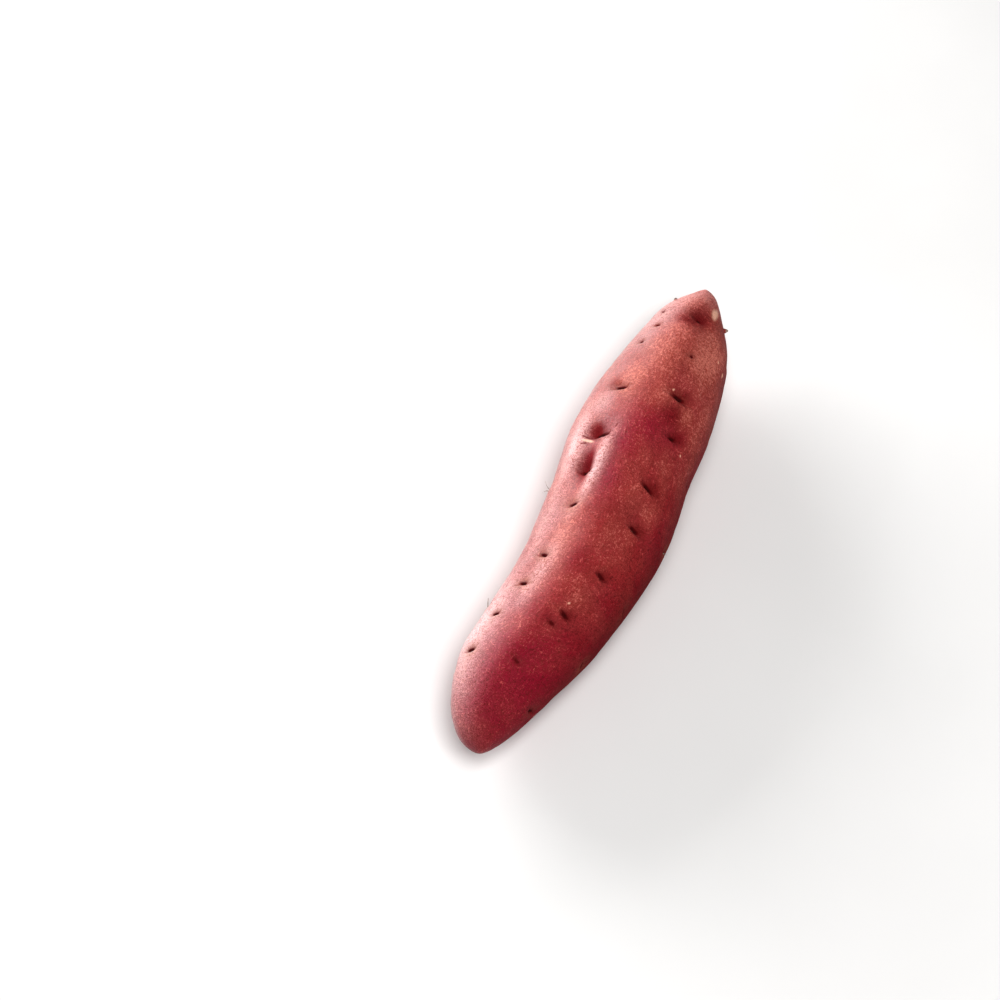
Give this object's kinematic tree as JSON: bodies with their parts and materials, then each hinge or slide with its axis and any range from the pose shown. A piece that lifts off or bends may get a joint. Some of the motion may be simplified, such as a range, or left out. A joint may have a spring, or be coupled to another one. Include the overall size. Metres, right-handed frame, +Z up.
{
  "type": "sweet potato",
  "caption": "Whole raw sweet potato with red-pink skin: a gently curved spindle of a root with rows of small eyes, lying on a small flat spot.",
  "frame": {"origin": "middle of the bounding box at its bottom, on the plane of the resting face", "axes": "+X along the root from the tail to the crown, +Y across it to the left seen from the tail, +Z up from the resting face"},
  "size_m": [0.206, 0.0514, 0.0463],
  "materials": {
    "skin": "satin red-pink root skin with fine tan grain, paler dust and small brown eyes"
  },
  "bodies": {
    "root": {"tuber": "skin"}
  },
  "joints": []
}
